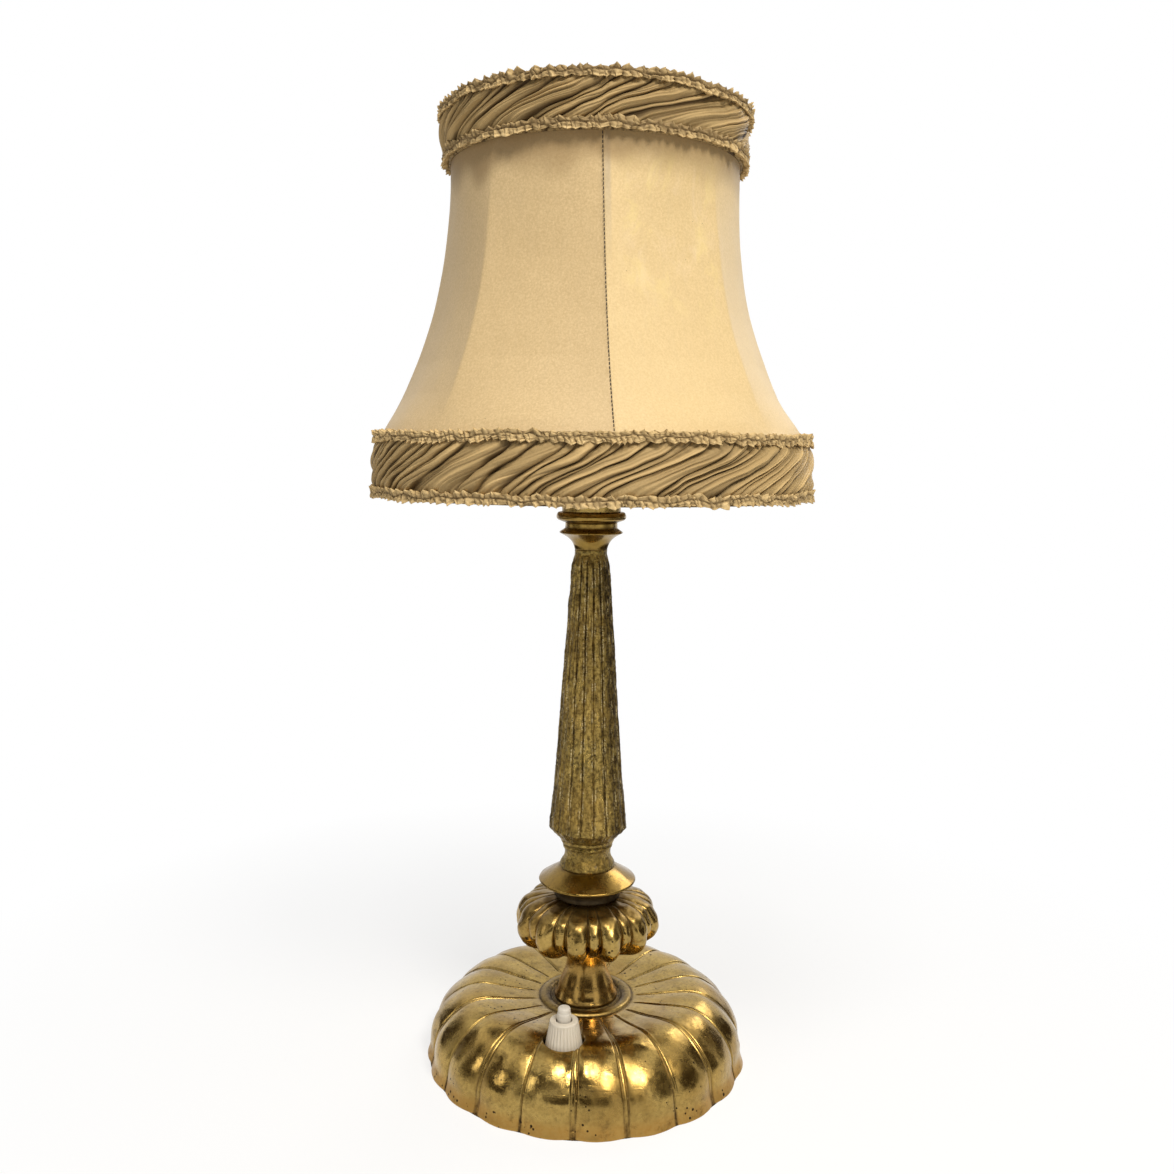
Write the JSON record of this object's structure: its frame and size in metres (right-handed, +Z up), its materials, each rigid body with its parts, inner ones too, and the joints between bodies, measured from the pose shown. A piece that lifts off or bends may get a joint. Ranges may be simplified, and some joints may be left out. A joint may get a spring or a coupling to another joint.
{
  "type": "candlestick lamp",
  "caption": "Brass candlestick table lamp: scalloped foot, lobed knop, fluted tapering column, push switch, and a bell-shaped fabric shade with ruched bands and frilled trims.",
  "frame": {"origin": "centre of the plane that the foot stands on", "axes": "+Z up along the rod; -Y is the front, the side of the foot that carries the switch; +X to the right seen from the front"},
  "size_m": [0.2164, 0.2164, 0.4697],
  "materials": {
    "brass": "aged, polished, finely pitted",
    "cast_brass": "aged, sandy cast surface",
    "pale_brass": "aged, satin",
    "white_plastic": "moulded, slightly yellowed",
    "button_plastic": "moulded",
    "black_plastic": "moulded",
    "porcelain": "glazed ceramic look",
    "steel": "zinc plated",
    "cap_metal": "rolled",
    "bulb_glass": "clear",
    "filament": "drawn wire",
    "frame_wire": "white coated wire",
    "cover_cloth": "satin weave",
    "band_cloth": "ruched satin",
    "trim_braid": "gathered braid",
    "felt": "felt",
    "lead_cover": "woven sleeving look"
  },
  "bodies": {
    "lamp": {"base_foot": "brass", "base_cover": "steel", "felt_pad": "felt", "cover_screws": "steel", "rod": "steel", "rod_nut": "steel", "rod_washer": "steel", "spool": "brass", "knop": "brass", "knop_cap": "pale_brass", "drip_dish": "brass", "column": "cast_brass", "capital": "brass", "capital_disc": "brass", "holder_cup": "brass", "holder_shell": "black_plastic", "holder_insulator": "porcelain", "holder_thread": "pale_brass", "holder_contact": "pale_brass", "shade_ring": "black_plastic", "switch_collar": "white_plastic", "switch_plate": "steel", "plate_screws": "steel", "switch_body": "black_plastic", "switch_terminals": "pale_brass", "switch_spring": "steel", "cord_gland": "pale_brass", "gland_nut": "pale_brass", "terminal_block": "porcelain", "lead_neutral": "lead_cover", "lead_live": "lead_cover", "lead_feed": "lead_cover"},
    "button": {"switch_plunger": "button_plastic"},
    "bulb_carriage": {"bulb_contact": "cap_metal"},
    "bulb": {"bulb_cap": "cap_metal", "bulb_glass": "bulb_glass", "bulb_insulator": "black_plastic", "bulb_stem": "bulb_glass", "bulb_filament": "filament"},
    "shade": {"shade_cover_left": "cover_cloth", "shade_cover_right": "cover_cloth", "band_lower": "band_cloth", "band_upper": "band_cloth", "trim_lower_bottom": "trim_braid", "trim_lower_top": "trim_braid", "trim_upper_bottom": "trim_braid", "trim_upper_top": "trim_braid", "frame_ribs": "frame_wire", "frame_bottom_ring": "frame_wire", "frame_shoulder_ring": "frame_wire", "frame_neck_ring": "frame_wire", "frame_top_ring": "frame_wire", "frame_carrier": "frame_wire"}
  },
  "joints": [
    {"name": "switch_press", "type": "slide", "parent": "lamp", "child": "button", "axis": [0, 0, -1], "range_m": [0, 0.0032], "stiffness_N_per_m": 500, "springref_m": -0.001, "deforming": ["switch_spring"]},
    {"name": "shade_swivel", "type": "hinge", "parent": "lamp", "child": "shade", "pos_m": [0, 0, 0.32075], "axis": [0, 0, 1], "continuous": true},
    {"name": "bulb_rise", "type": "slide", "parent": "lamp", "child": "bulb_carriage", "axis": [0, 0, 1], "range_m": [0, 0.0113]},
    {"name": "bulb_turn", "type": "hinge", "parent": "bulb_carriage", "child": "bulb", "pos_m": [0, 0, 0.32], "axis": [0, 0, 1], "range_deg": [0, 1440]}
  ],
  "couplings": [
    {"joint": "bulb_rise", "follows": "bulb_turn", "m_per_rad": 0.00044882}
  ]
}
